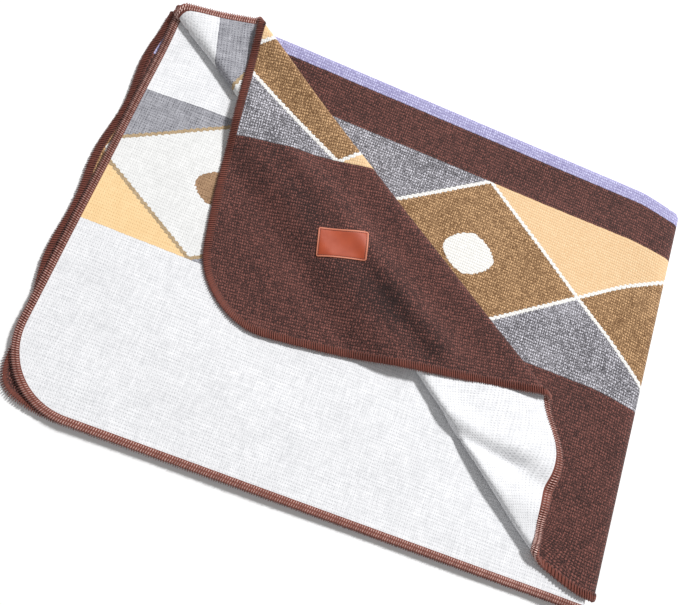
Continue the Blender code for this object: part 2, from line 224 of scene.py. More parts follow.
# How much each unevenness lightens or darkens the two faces, and their woven relief
DARK_SHOW = {"base": 0.14, "knot": 0.10, "chance": 0.95, "fibres": 2.8, "worn": 0.5, "clouds": 0.4}
PALE_SHOW = {"base": 0.55, "hole": 0.05, "chance": 0.75, "fibres": 1.4, "worn": 0.4, "clouds": 0.3,
             "slubs": 1.4}
WEAVE_DEPTH = 0.0012
DARK_BUMP = 0.55
PALE_BUMP = 0.35
PALE_FIBRE_HEIGHT = 0.8

# The overlock yarn: its two rows of painted highlights as pale dashes and its dark end, by how far along a
# loop they lie, and how much the turn's crown, painted lighter as a highlight, and the loop's own tone
# change them
INNER_GLINT_ROW = {"centre": 0.90, "peak": 1.4, "fall": 15.0}
OUTER_GLINT_ROW = {"centre": 0.69, "peak": 1.3, "fall": 13.0}
OUTER_SHARE = 0.8
GLINT_BASE = 0.8
CROWN_START = 0.25
CROWN_RISE = 4.0
DARK_END = 1.6
DARK_END_FALL = 9.0
YARN_BASE = 0.25
YARN_SHARE = 0.4

# The scales of the hem's, the overlock yarn's and the sewing thread's fibres
HEM_FIBRE_SCALE = 900.0
YARN_FIBRE_SCALE = 1400.0
THREAD_FIBRE_SCALE = 2500.0

# The leather: its grain, its patches, the worn border and the line pressed into it
GRAIN_SCALE = 1100.0
PATCH_SCALE = 60.0
WORN_BORDER = 1.3
WORN_PATCHES = 1.5
WORN_SHARE = 0.8
PRESSED_SHARE = 0.7
LEATHER_GLOSS = 0.42
LEATHER_DULLING = 0.25

# The woven figures, in flat coordinates
LILAC_CENTRE = 0.6725
LILAC_HALF = 0.0555
NEAR_BAND = {"centre": 0.4210, "half": 0.1305}
FAR_BAND = {"centre": 0.9125, "half": 0.1155}
DIAMOND_PERIOD = 0.388
CROSSING_START = -0.026
OUTLINE_WIDTH = 0.0055
BLOB_WIDTH = 0.043
BLOB_LENGTH = 0.034
BLOB_POWER = 1.6
REVERSE_BLOB_SCALE = 0.85

# The camera, in the photograph's frame
PHOTO_WIDTH = 679
FOCAL_PIXELS = 595.0
SENSOR_WIDTH = 36.0
CAMERA_ELEVATION = math.radians(74.0)
CAMERA_AZIMUTH = math.radians(-22.8)
CAMERA_ROLL = math.radians(44.06)
CAMERA_TARGET = Vector((-0.0412, -0.0376, 0.0))
CAMERA_DISTANCE = 0.893

# The light, by its direction in the picture and its height
KEY_TURN = math.radians(40.0)
KEY_ELEVATION = math.radians(50.0)
KEY_DISTANCE = 6.0
KEY_SIZE = 0.9
KEY_POWER = 400.0
WORLD_STRENGTH = 0.37
FLOOR_SIZE = 14.0


def display_colour(red, green, blue):
    """Return the scene's colour for a display colour of 0 to 255."""
    def linear(value):
        value = value / 255.0
        return value / 12.92 if value <= 0.04045 else ((value + 0.055) / 1.055) ** 2.4
    return (linear(red), linear(green), linear(blue), 1.0)


# Colours of the yarns, in the gaps between the woven knots and on the knots
BROWN = (display_colour(36, 14, 12), display_colour(136, 83, 74))
OCHRE = (display_colour(100, 66, 32), display_colour(216, 174, 128))
GREY = (display_colour(62, 59, 64), display_colour(216, 214, 222))
TAN = (display_colour(222, 184, 138), display_colour(240, 208, 166))
LILAC = (display_colour(138, 132, 176), display_colour(206, 205, 238))
WHITE = (display_colour(226, 224, 219), display_colour(250, 249, 246))
PALE = (display_colour(202, 203, 206), display_colour(248, 248, 250))
PALE_TAN = (display_colour(230, 191, 136), display_colour(246, 214, 163))
PALE_GREY = (display_colour(84, 84, 92), display_colour(188, 188, 195))
PALE_WHITE = (display_colour(208, 208, 207), display_colour(245, 245, 244))
PALE_OCHRE = (display_colour(106, 76, 50), display_colour(188, 152, 118))
TAUPE = (display_colour(146, 122, 88), display_colour(196, 172, 138))
HEM_BROWN = display_colour(78, 38, 31)
YARN_BROWN = display_colour(142, 76, 60)
# Painted highlight: the pale glints on the overlock yarn's turns
PAINTED_GLINT = display_colour(248, 214, 204)
LEATHER = display_colour(184, 76, 32)
LEATHER_DARK = display_colour(150, 54, 22)
LEATHER_WORN = display_colour(222, 140, 110)
THREAD = display_colour(84, 32, 20)
FLOOR = display_colour(250, 250, 250)


# Folding the cloth

def line_axes(line):
    """Return a line's start, its direction and its length in flat coordinates."""
    (start_a, start_b), (end_a, end_b) = line["start"], line["end"]
    length = math.hypot(end_a - start_a, end_b - start_b)
    return start_a, start_b, (end_a - start_a) / length, (end_b - start_b) / length, length


def crease_coordinates(crease, a, b):
    """Return how far along a crease points lie, from 0 to 1, and how far past it, in metres."""
    start_a, start_b, along_a, along_b, length = line_axes(crease)
    along = ((a - start_a) * along_a + (b - start_b) * along_b) / length
    past = (a - start_a) * along_b - (b - start_b) * along_a
    return along, past - crease["bow"] * np.sin(math.pi * along)


def crease_point(crease, along, past):
    """Return the flat coordinates of points given along and past a crease."""
    start_a, start_b, along_a, along_b, length = line_axes(crease)
    offset = past + crease["bow"] * np.sin(math.pi * along)
    a = start_a + along * length * along_a + offset * along_b
    b = start_b + along * length * along_b - offset * along_a
    return a, b


def smooth_step(value):
    """Return a smooth rise from 0 to 1."""
    value = np.clip(value, 0.0, 1.0)
    return value * value * (3.0 - 2.0 * value)


def half_gap(x, y):
    """Return half of the distance between two layers, over the stack's plan from its lower left."""
    near_top = np.exp(-((TOP_FOLD_START - y) / SWELL_REACH) ** 2)
    near_right = np.exp(-((RIGHT_FOLD_START - x) / SWELL_REACH) ** 2)
    near_top = np.where(y > TOP_FOLD_START, 1.0, near_top)
    near_right = np.where(x > RIGHT_FOLD_START, 1.0, near_right)
    level = (1.0 - near_top) * (1.0 - near_right)
    wave = np.sin(2 * math.pi * (x / WAVE_LENGTH_X + WAVE_LEAN * y))
    wave = wave * np.cos(2 * math.pi * y / WAVE_LENGTH_Y)
    return FOLD_HALF_GAP + (HALF_GAP - FOLD_HALF_GAP) * level + HALF_GAP * WAVE_SHARE * wave * level


def ply_lift(distance):
    """Return the height of a turned ply over the one below it, by the distance from their crease."""
    swell = np.exp(-(np.maximum(distance, 0.0) / CREASE_REACH) ** 2)
    return PLY_GAP + (2 * CREASE_RADIUS - PLY_GAP) * swell


def turn_back(a, b):
    """Fold the uppermost layer along its two creases; return its plan and its height over the layer."""
    lower, upper = CREASES["lower"], CREASES["upper"]

    # The upper crease, under which the corner is tucked while the layer is flat
    along, past = crease_coordinates(upper, a, b)
    on_corner = past > 0.0
    upper_angle = np.clip(past / CREASE_RADIUS, 0.0, math.pi)
    upper_distance = past - CREASE_TURN
    folded = np.where(past < CREASE_TURN, CREASE_RADIUS * np.sin(upper_angle), -upper_distance)
    tucked_a, tucked_b = crease_point(upper, along, folded)
    flat_a = np.where(on_corner, tucked_a, a)
    flat_b = np.where(on_corner, tucked_b, b)

    # The lower crease, over which all of that is laid back
    along, past = crease_coordinates(lower, flat_a, flat_b)
    turned = (past > 0.0) | on_corner
    lower_angle = np.clip(past / CREASE_RADIUS, 0.0, math.pi)
    lower_distance = past - CREASE_TURN
    in_turn = (past < CREASE_TURN) & ~on_corner
    folded = np.where(in_turn, CREASE_RADIUS * np.sin(lower_angle), -lower_distance)
    over_a, over_b = crease_point(lower, along, folded)
    x = np.where(turned, over_a, flat_a)
    y = np.where(turned, over_b, flat_b)

    # Heights of the turned-back part and of the corner on it
    middle_height = np.where(in_turn, CREASE_RADIUS * (1.0 - np.cos(lower_angle)), ply_lift(lower_distance))
    drop = smooth_step((-lower_distance - DROP_START) / DROP_WIDTH)
    under_corner = ply_lift(lower_distance) * (1.0 - drop) - PLY_GAP * drop
    corner_lift = np.where(upper_distance < 0.0, CREASE_RADIUS * (1.0 - np.cos(upper_angle)),
                           ply_lift(upper_distance))
    height = np.where(on_corner, under_corner + corner_lift, middle_height)
    height = np.where(turned, height, 0.0)
    return x, y, height, turned, on_corner


def ruffle(a, b, on_middle):
    """Return the sideways shift and the lift of the turned-back part near its bottom hem."""
    upper_past = crease_coordinates(CREASES["upper"], a, b)[1]
    lower_past = crease_coordinates(CREASES["lower"], a, b)[1]
    share = np.clip(-upper_past / (lower_past - upper_past + LEAST_WIDTH), 0.0, 1.0)
    fade = np.where(on_middle, np.exp(-(b / RUFFLE_REACH) ** 2), 0.0)
    sideways = RUFFLE_SIDEWAYS * np.sin(2 * math.pi * share) * np.sin(math.pi * share) * fade
    lift = RUFFLE_HEIGHT * np.sin(math.pi * share) ** 2 * fade
    return sideways, lift


def soft_relief(a, b):
    """Return the height of the listed soft creases."""
    height = np.zeros_like(a)
    for crease in SOFT_CREASES:
        start_a, start_b, step_a, step_b, length = line_axes(crease)
        along = (a - start_a) * step_a + (b - start_b) * step_b
        beside = (a - start_a) * step_b - (b - start_b) * step_a
        beyond = np.maximum(0.0, np.maximum(-along, along - length))
        distance = np.hypot(beside / crease["width"], beyond / (2 * crease["width"]))
        height = height + crease["height"] * np.exp(-distance ** 2)
    return height


def fold_cloth(a, b):
    """Return the places in the folded stack of points of the flat cloth, as an array of x, y, z."""
    a = np.asarray(a, dtype=float)
    b = np.asarray(b, dtype=float)

    # The plan of the uppermost layer with its creases
    plan_x, plan_y, height, turned, on_corner = turn_back(a, b)
    sideways, lift = ruffle(a, b, turned & ~on_corner)
    flat = (b > TOP_FOLD_START) | (a > RIGHT_FOLD_START)
    plan_x = np.where(flat, a, plan_x + sideways * math.cos(RUFFLE_TURN))
    plan_y = np.where(flat, b, plan_y + sideways * math.sin(RUFFLE_TURN))
    height = np.where(flat, 0.0, height + lift)
    height = height + soft_relief(a, b)

    # Fold at the top: side is +1 on the outer half and -1 on the inner half
    top_angle = np.clip((plan_y - TOP_FOLD_START) / TOP_FOLD_LENGTH, 0.0, 1.0) * math.pi
    top_angle = np.where(flat, top_angle, 0.0)
    below_top = 2 * TOP_FOLD_START + TOP_FOLD_LENGTH - plan_y
    y_level = np.where(flat & (plan_y > TOP_FOLD_START + TOP_FOLD_LENGTH), below_top, plan_y)
    side = np.cos(top_angle)

    # Fold at the right, wider for the outer half than for the inner half
    right_radius = (2 + side) * FOLD_HALF_GAP
    right_length = math.pi * right_radius * (1 + RIGHT_BULGE) / 2
    right_angle = np.clip((plan_x - RIGHT_FOLD_START) / right_length, 0.0, 1.0) * math.pi
    past_right = 2 * RIGHT_FOLD_START + right_length - plan_x
    x_level = np.where(plan_x > RIGHT_FOLD_START + right_length, past_right, plan_x)

    gap = half_gap(np.minimum(x_level, RIGHT_FOLD_START + GAP_OVERRUN), y_level)
    in_top = (top_angle > 0.0) & (top_angle < math.pi)
    y = np.where(in_top, TOP_FOLD_START + TOP_BULGE * gap * np.sin(top_angle), y_level)
    in_right = (right_angle > 0.0) & (right_angle < math.pi)
    bulge = RIGHT_BULGE * (2 + side) * gap * np.sin(right_angle)
    x = np.where(in_right, RIGHT_FOLD_START + bulge, x_level)
    z = CLOTH_THICKNESS / 2 + 3 * gap + (2 + side) * gap * np.cos(right_angle) + height

    # Layers that have slipped at the corners
    lower_past = crease_coordinates(CREASES["lower"], a, b)[1]
    loose = np.where(on_corner, 0.0, 1.0 - smooth_step(lower_past / CREASE_TURN))
    slip_x, slip_y = slip(x, y, np.where(flat, 0.0, 1.0), np.where(flat, 1.0, loose))
    lower_half = np.where(right_angle < math.pi, 0.0, 1.0)
    from_tip = np.hypot(x - TIP_CENTRE, y - TIP_CENTRE)
    tips = lower_half * np.exp(-(from_tip / TIP_SLIP_REACH) ** 2) * (1.0 + TIP_SLIP_SHARE * side)
    beside_left = lower_half * np.exp(-(x / LEFT_SLIP_REACH) ** 2)
    drawn_right = LOWER_SLIP * beside_left * (1.0 - smooth_step(y / LOWER_SLIP_START))
    x = x + slip_x + drawn_right - TIP_SLIP * tips
    y = y + slip_y - TIP_SLIP * tips
    drawn_in = np.where(on_corner, np.exp(-(np.hypot(a, b) / CORNER_SLIP_REACH) ** 2), 0.0)
    x = x + CORNER_SLIP_X * drawn_in
    y = y + CORNER_SLIP_Y * drawn_in

    # The stack isn't quite square
    y = y + TOP_TILT * (x - RIGHT_FOLD_START / 2) * y / TOP_FOLD_START

    # Scalloped left hems of the lower half
    fade = np.where(right_angle < math.pi, 0.0, np.exp(-(x / SCALLOP_REACH) ** 2))
    x = x + SCALLOP * fade * np.sin(2 * math.pi * (y / SCALLOP_LENGTH + SCALLOP_SHIFT * side))
    return np.stack([x - STACK_CENTRE_X, y - STACK_CENTRE_Y, z], axis=-1)


def slip(x, y, on_top, loose):
    """Return how far the layers have slipped in x and y, by whether they are on top and loose."""
    left = np.exp(-(x / LEFT_SLIP_REACH) ** 2) * loose
    left = left * smooth_step((y - LEFT_SLIP_START) / (TOP_FOLD_START - LEFT_SLIP_START))
    right = np.exp(-((x - RIGHT_SLIP_CENTRE) / RIGHT_SLIP_WIDTH) ** 2 - (y / RIGHT_SLIP_REACH) ** 2)
    right = right * smooth_step((RIGHT_FOLD_START - x) / RIGHT_SLIP_END) * on_top
    beside_fold = smooth_step((x - FOLD_SLIP_START) / FOLD_SLIP_WIDTH) * smooth_step(y / FOLD_SLIP_REACH)
    return RIGHT_SLIP_X * right, RIGHT_SLIP_Y * right - LEFT_SLIP * left - FOLD_SLIP * beside_fold


def face_normals(a, b):
    """Return the unit normals of the folded cloth's dark face."""
    along_width = fold_cloth(a + NORMAL_STEP, b) - fold_cloth(a - NORMAL_STEP, b)
    along_length = fold_cloth(a, b + NORMAL_STEP) - fold_cloth(a, b - NORMAL_STEP)
    normal = np.cross(along_width, along_length)
    return normal / np.linalg.norm(normal, axis=-1, keepdims=True)


# Flat meshes

def edge_distance(a, b, width, length, radius):
    """Return how far inside a rectangle with round corners points lie."""
    out_a = np.abs(a - width / 2) - (width / 2 - radius)
    out_b = np.abs(b - length / 2) - (length / 2 - radius)
    outside = np.hypot(np.maximum(out_a, 0.0), np.maximum(out_b, 0.0))
    return radius - outside - np.minimum(np.maximum(out_a, out_b), 0.0)


def rounded_outline(width, length, radius, step, inset=0.0):
    """Return points round a rectangle with round corners, anticlockwise, at the given step."""
    corners = [(width - radius, radius, -90), (width - radius, length - radius, 0),
               (radius, length - radius, 90), (radius, radius, 180)]
    arc_steps = max(2, round(radius * math.pi / 2 / step))
    small = radius - inset
    points = []
    for number, (centre_a, centre_b, first) in enumerate(corners):
        for k in range(arc_steps + 1):
            angle = math.radians(first + 90 * k / arc_steps)
            points.append((centre_a + small * math.cos(angle), centre_b + small * math.sin(angle)))
        next_a, next_b, next_first = corners[(number + 1) % 4]
        target = (next_a + small * math.cos(math.radians(next_first)),
                  next_b + small * math.sin(math.radians(next_first)))
        last = points[-1]
        steps = max(1, round(math.dist(last, target) / step))
        for k in range(1, steps):
            points.append((last[0] + (target[0] - last[0]) * k / steps,
                           last[1] + (target[1] - last[1]) * k / steps))
    return points


def crease_rows():
    """Return points that follow the turns of the two creases."""
    points = []
    for crease in CREASES.values():
        steps = round(math.dist(crease["start"], crease["end"]) / CREASE_STEP)
        for row in range(TURN_ROWS + 1):
            past = CREASE_TURN * row / TURN_ROWS
            for k in range(steps + 1):
                along = (1 + 2 * CREASE_OVERRUN) * k / steps - CREASE_OVERRUN
                point = crease_point(crease, along, past)
                if point[1] < TOP_FOLD_START:
                    points.append(point)
    return points


def fold_rows():
    """Return points that follow the folds at the top and at the right."""
    points = []
    for row in range(-1, TURN_ROWS + 2):
        b = TOP_FOLD_START + TOP_FOLD_LENGTH * row / TURN_ROWS
        for a in np.arange(0.0, CLOTH_WIDTH, CREASE_STEP):
            points.append((a, b))
        a = RIGHT_FOLD_START + RIGHT_FOLD_LENGTH * row / TURN_ROWS
        for b in np.arange(0.0, CLOTH_LENGTH, CREASE_STEP):
            points.append((a, b))
    return points


def grid_points(low_a, high_a, low_b, high_b, step):
    """Return staggered grid points over a part of the flat cloth."""
    points = []
    rows = round((high_b - low_b) / step)
    columns = round((high_a - low_a) / step)
    for row in range(rows):
        for column in range(columns):
            shift = STAGGER if row % 2 else 1.0 - STAGGER
            points.append((low_a + (high_a - low_a) * (column + shift) / columns,
                           low_b + (high_b - low_b) * (row + 0.5) / rows))
    return points


def thin_out(points, fixed, distance):
    """Return the points that keep a distance from every fixed point."""
    tree = KDTree(len(fixed))
    for number, point in enumerate(fixed):
        tree.insert((point[0], point[1], 0.0), number)
    tree.balance()
    return [point for point in points if tree.find((point[0], point[1], 0.0))[2] > distance]


def triangulate(outline, points):
    """Return the points and triangles of a flat outline with points inside it."""
    vectors = [Vector(point) for point in outline + points]
    result = delaunay_2d_cdt(vectors, [], [list(range(len(outline)))], 1, MERGE_DISTANCE)
    flat = np.array([tuple(point) for point in result[0]])
    faces = np.array([tuple(face) for face in result[2]])
    return flat, faces


def points_within(points, shape, inset):
    """Return the points that lie further in from a round-cornered shape's edge than an inset."""
    return [point for point in points if edge_distance(point[0], point[1], *shape) > inset]


def cloth_triangles():
    """Return the flat cloth's points and triangles."""
    outline = rounded_outline(*CLOTH_SHAPE, HEM_STEP)
    hem = []
    for inset in HEM_ROWS[1:]:
        hem += rounded_outline(*CLOTH_SHAPE, HEM_STEP, inset)
    inside = points_within(crease_rows() + fold_rows(), CLOTH_SHAPE, HEM_ROWS[-1])
    fixed = outline + hem + inside
    grids = [
        (grid_points(0.0, RIGHT_FOLD_START, 0.0, TOP_FOLD_START, TOP_STEP), TOP_STEP),
        (grid_points(0.0, RIGHT_FOLD_START, TOP_FOLD_START, CLOTH_LENGTH, SECOND_STEP), SECOND_STEP),
        (grid_points(RIGHT_FOLD_START, CLOTH_WIDTH, 0.0, CLOTH_LENGTH, HIDDEN_STEP), HIDDEN_STEP),
    ]
    points = hem + inside
    for grid, step in grids:
        kept = points_within(grid, CLOTH_SHAPE, HEM_ROWS[-1])
        points += thin_out(kept, fixed, CLEAR_SHARE * step)
    return triangulate(outline, points)


# Solids on the folded cloth

def add_object(name, data):
    """Put a mesh, a light or the camera into the scene and return its object."""
    obj = bpy.data.objects.new(name, data)
    bpy.context.collection.objects.link(obj)
    return obj


def make_shell(name, flat, faces, upper, lower, slots, slot_of_face):
    """Make a closed mesh of an upper side, a lower side and a rim; return its object."""
    count = len(flat)
    ordered = np.concatenate([faces[:, [0, 1]], faces[:, [1, 2]], faces[:, [2, 0]]])
    present = {(int(first), int(second)) for first, second in ordered}
    rim = [(second, first, first + count, second + count) for first, second in sorted(present)
           if (second, first) not in present]
    polygons = [tuple(face) for face in faces.tolist()]
    polygons += [tuple(vertex + count for vertex in reversed(face)) for face in faces.tolist()]
    polygons += rim
    mesh = bpy.data.meshes.new(name)
    mesh.from_pydata(np.concatenate([upper, lower]).tolist(), [], polygons)
    for material in slots:
        mesh.materials.append(material)
    upper_slots, lower_slots, rim_slot = slot_of_face
    indices = np.concatenate([upper_slots, lower_slots, np.full(len(rim), rim_slot)])
    mesh.polygons.foreach_set("material_index", indices.astype(np.int32))
    layer = mesh.uv_layers.new(name="flat")
    vertex_of_loop = np.zeros(len(mesh.loops), dtype=np.int32)
    mesh.loops.foreach_get("vertex_index", vertex_of_loop)
    layer.data.foreach_set("uv", flat[vertex_of_loop % count].ravel())
    mesh.shade_smooth()
    mesh.update()
    return add_object(name, mesh)


def make_cloth(finishes):
    """Make the blanket: a thin closed shell on the folds, thickened and rounded off in its hem."""
    flat, faces = cloth_triangles()
    a, b = flat[:, 0], flat[:, 1]
    distance = np.maximum(edge_distance(a, b, *CLOTH_SHAPE), 0.0)
    swell = HEM_SWELL * np.exp(-((distance - STITCH_INSET) / (0.5 * HEM_WIDTH)) ** 2)
    edge = np.clip(1.0 - distance / HEM_ROUND, 0.0, 1.0)
    half = (CLOTH_THICKNESS / 2 + swell) * np.sqrt(HEM_EDGE_OPEN - edge ** 2)
    middle = fold_cloth(a, b)
    offset = face_normals(a, b) * half[:, None]
    upper = middle + offset
    lower = middle - offset
    upper[:, 2] = np.maximum(upper[:, 2], 0.0)
    lower[:, 2] = np.maximum(lower[:, 2], 0.0)
    face_distance = distance[faces].mean(axis=1)
    dark, pale, hem = range(3)
    upper_slots = np.where(face_distance < HEM_WIDTH, hem, dark)
    lower_slots = np.where(face_distance < HEM_WIDTH, hem, pale)
    slots = [finishes["dark_face"], finishes["pale_face"], finishes["hem"]]
    return make_shell("blanket_cloth", flat, faces, upper, lower, slots, (upper_slots, lower_slots, hem))


def label_to_flat(u, v):
    """Return the flat coordinates of points of the label, given from its lower left corner."""
    across = u - LABEL_SIZE[0] / 2
    up = v - LABEL_SIZE[1] / 2
    a = LABEL_CENTRE[0] + across * math.cos(LABEL_TURN) - up * math.sin(LABEL_TURN)
    b = LABEL_CENTRE[1] + across * math.sin(LABEL_TURN) + up * math.cos(LABEL_TURN)
    return a, b


def make_label(finishes):
    """Make the label: a leather plate with rounded edges and a pressed line inside its border."""
    width, height = LABEL_SIZE
    shape = (width, height, LABEL_CORNER)
    outline = rounded_outline(*shape, LABEL_STEP / 2)
    rows = []
    for inset in LABEL_ROWS[1:]:
        radius = max(LABEL_CORNER, inset + LABEL_ROW_CORNER)
        rows += rounded_outline(width, height, radius, LABEL_STEP / 2, inset)
    grid = points_within(grid_points(0.0, width, 0.0, height, LABEL_STEP), shape, LABEL_ROWS[-1])
    points = rows + thin_out(grid, rows, CLEAR_SHARE * LABEL_STEP)
    flat, faces = triangulate(outline, points)
    u, v = flat[:, 0], flat[:, 1]
    distance = np.maximum(edge_distance(u, v, *shape), 0.0)
    edge = np.clip(1.0 - distance / LABEL_ROUND, 0.0, 1.0)
    groove = LABEL_GROOVE_DEPTH * np.exp(-((distance - LABEL_GROOVE_INSET) / LABEL_GROOVE_WIDTH) ** 2)
    thickness = LABEL_THICKNESS - LABEL_ROUND * (1.0 - np.sqrt(1.0 - edge ** 2)) - groove
    a, b = label_to_flat(u, v)
    middle = fold_cloth(a, b)
    normal = face_normals(a, b)
    under = CLOTH_THICKNESS / 2 + LABEL_CLEARANCE
    upper = middle + normal * (under + thickness)[:, None]
    lower = middle + normal * under
    zeros = np.zeros(len(faces))
    return make_shell("leather_label", flat, faces, upper, lower, [finishes["leather"]], (zeros, zeros, 0))


# Node trees

class Value:
    """A socket of a node tree that takes part in arithmetic: each operation adds a Math node."""

    def __init__(self, graph, socket):
        self.graph = graph
        self.socket = socket

    def math(self, operation, *others):
        node = self.graph.tree.nodes.new("ShaderNodeMath")
        node.operation = operation
        for socket, value in zip(node.inputs, (self, *others)):
            self.graph.feed(socket, value)
        return Value(self.graph, node.outputs[0])

    def reflected(self, operation, other):
        node = self.graph.tree.nodes.new("ShaderNodeMath")
        node.operation = operation
        self.graph.feed(node.inputs[0], other)
        self.graph.feed(node.inputs[1], self)
        return Value(self.graph, node.outputs[0])

    def __add__(self, other):
        return self.math("ADD", other)

    def __radd__(self, other):
        return self.reflected("ADD", other)

    def __sub__(self, other):
        return self.math("SUBTRACT", other)

    def __rsub__(self, other):
        return self.reflected("SUBTRACT", other)

    def __mul__(self, other):
        return self.math("MULTIPLY", other)

    def __rmul__(self, other):
        return self.reflected("MULTIPLY", other)

    def __truediv__(self, other):
        return self.math("DIVIDE", other)

    def __rtruediv__(self, other):
        return self.reflected("DIVIDE", other)

    def __pow__(self, other):
        return self.math("POWER", other)

    def __lt__(self, other):
        return self.math("LESS_THAN", other)

    def __gt__(self, other):
        return self.math("GREATER_THAN", other)

    def __abs__(self):
        return self.math("ABSOLUTE")

    def floor(self):
        return self.math("FLOOR")

    def clamped(self):
        return self.math("MAXIMUM", 0.0).math("MINIMUM", 1.0)


class Graph:
    """A node tree under construction: one method adds any node and returns one of its outputs."""

    def __init__(self, tree):
        self.tree = tree

    def feed(self, socket, value):
        if isinstance(value, Value):
            self.tree.links.new(value.socket, socket)
        else:
            socket.default_value = value

    def find(self, sockets, name):
        return next(socket for socket in sockets if socket.enabled and name in (None, socket.name))

    def node(self, kind, settings=None, inputs=None, output=None):
        node = self.tree.nodes.new(kind)
        for name, value in (settings or {}).items():
            setattr(node, name, value)
        for name, value in (inputs or {}).items():
            self.feed(self.find(node.inputs, name), value)
        return Value(self, self.find(node.outputs, output)) if node.outputs else node

    def mix(self, factor, first, second):
        """Return a colour between two, by a factor."""
        return self.node("ShaderNodeMix", {"data_type": "RGBA"}, {"Factor": factor, "A": first, "B": second})

    def split(self, vector):
        node = self.tree.nodes.new("ShaderNodeSeparateXYZ")
        self.feed(node.inputs[0], vector)
        return [Value(self, socket) for socket in node.outputs]

    def join(self, x, y, z=0.0):
        return self.node("ShaderNodeCombineXYZ", None, {"X": x, "Y": y, "Z": z})

    def noise(self, place, scale, detail=2.0, output="Fac"):
        return self.node("ShaderNodeTexNoise", {"noise_dimensions": "3D"},
                         {"Vector": place, "Scale": scale, "Detail": detail}, output)


def shown_band(value, centre, peak, fall):
    """Return a band round a centre, from its peak down to 0 and cut off at 1."""
    return (peak - abs(value - centre) * fall).clamped()


def new_finish(name, roughness, sheen=0.0):
    """Return a new material's graph and its main shader."""
    material = bpy.data.materials.new(name)
    material.use_nodes = True
    shader = material.node_tree.nodes["Principled BSDF"]
    shader.inputs["Roughness"].default_value = roughness
    shader.inputs["Sheen Weight"].default_value = sheen
    shader.inputs["Sheen Roughness"].default_value = 0.5
    return material, Graph(material.node_tree), shader


def add_relief(graph, shader, height, strength, distance):
    """Raise a finish by a height value."""
    normal = graph.node("ShaderNodeBump", None, {
        "Strength": strength, "Distance": distance, "Height": height})
    graph.feed(shader.inputs["Normal"], normal)


def object_place(graph):
    """Return the places on a piece, in metres."""
    return graph.node("ShaderNodeTexCoord", None, None, "Object")


def attribute(graph, name):
    """Return a value stored on the yarn loops."""
    return graph.node("ShaderNodeAttribute", {"attribute_name": name}, None, "Fac")


# Finishes

def woven_cells(graph):
    """Return the woven cells: where each lies, its random value, and the knot and the hole in it."""
    uv = graph.node("ShaderNodeUVMap", {"uv_map": "flat"})
    wobble = graph.split(graph.noise(uv, WOBBLE_SCALE, output="Color"))
    a, b, _ = graph.split(uv)
    a = a + (wobble[0] - 0.5) * WOBBLE
    b = b + (wobble[1] - 0.5) * WOBBLE
    row = (b / CELL_LENGTH).floor()
    column = (a / CELL_WIDTH).floor()
    within_a = a / CELL_WIDTH - column - 0.5
    within_b = b / CELL_LENGTH - row - 0.5
    knot = (1.0 - (within_a * within_a + within_b * within_b) * KNOT_FALL).clamped()
    hole_a = ((abs(within_a) - HOLE_START) * HOLE_RISE).clamped()
    hole_b = ((abs(within_b) - HOLE_START) * HOLE_RISE).clamped()
    chance = graph.node("ShaderNodeTexWhiteNoise", {"noise_dimensions": "2D"},
                        {"Vector": graph.join(column, row)}, "Value")
    figure_a = (column + 0.5) * CELL_WIDTH
    figure_b = (row + 0.5) * CELL_LENGTH
    return {"uv": uv, "a": figure_a + (a - figure_a) * EDGE_SOFTNESS,
            "b": figure_b + (b - figure_b) * EDGE_SOFTNESS, "chance": chance, "knot": knot,
            "hole": hole_a * hole_b}


def woven_figures(cells, blob_scale=1.0):
    """Return masks of the woven figures at the cells' places."""
    a, b = cells["a"], cells["b"]
    far = b > LILAC_CENTRE
    from_lilac = abs(b - LILAC_CENTRE)
    near_middle = LILAC_CENTRE - NEAR_BAND["centre"]
    far_middle = FAR_BAND["centre"] - LILAC_CENTRE
    middle = near_middle + (far_middle - near_middle) * far
    half = NEAR_BAND["half"] + (FAR_BAND["half"] - NEAR_BAND["half"]) * far
    upright = (middle - from_lilac) / half
    share = abs(upright)
    in_band = share < 1.0

    # Across: 0 at a crossing of the lattice and 1 at a diamond's middle
    turns = (a - CROSSING_START) / DIAMOND_PERIOD
    crossing = (turns + 0.5).floor()
    across = abs(turns - crossing) * 2.0
    inside = across - share
    slope = 1.0 / (DIAMOND_PERIOD / 2) ** 2
    steep = 1.0 / (half * half) + slope
    line = (abs(inside) < 0.5 * OUTLINE_WIDTH * steep.math("SQRT")) * in_band
    diamond = (inside > 0.0) * in_band
    blob_a = (1.0 - across) * (DIAMOND_PERIOD / 2 / BLOB_WIDTH / blob_scale)
    blob_b = share * half / (BLOB_LENGTH * blob_scale)
    blob = (blob_a ** BLOB_POWER + blob_b ** BLOB_POWER) < 1.0

    # Beside the diamonds two colours take turns, and change sides across the lattice
    odd = crossing.math("MODULO", 2.0)
    near_lilac = upright > 0.0
    warm = 1.0 - abs(abs(odd - near_lilac) - 1.0)
    return {"band": in_band, "diamond": diamond, "line": line, "blob": blob * in_band,
            "warm": warm, "lilac": from_lilac < LILAC_HALF}


def paint_figures(graph, figures, colours, tone):
    """Lay one tone of a face's colours over each other, the ground first."""
    shades = {name: pair[tone] for name, pair in colours.items()}
    colour = graph.mix(figures["lilac"], shades["ground"], shades["lilac"])
    beside = graph.mix(figures["warm"], shades["cool"], shades["warm"])
    beside = graph.mix(figures["diamond"], beside, shades["diamond"])
    beside = graph.mix(figures["line"], beside, shades["line"])
    beside = graph.mix(figures["blob"], beside, shades["blob"])
    return graph.mix(figures["band"], colour, beside)


def woven_unevenness(graph, cells):
    """Return what makes the knots' brightness uneven: fine fibres, worn patches and soft clouds."""
    fibres = graph.noise(cells["uv"], FIBRE_SCALE) - 0.5
    worn = graph.noise(cells["uv"], WEAR_SCALE, 3.0) - 0.5
    clouds = graph.noise(cells["uv"], CLOUD_SCALE) - 0.5
    return fibres, worn, clouds


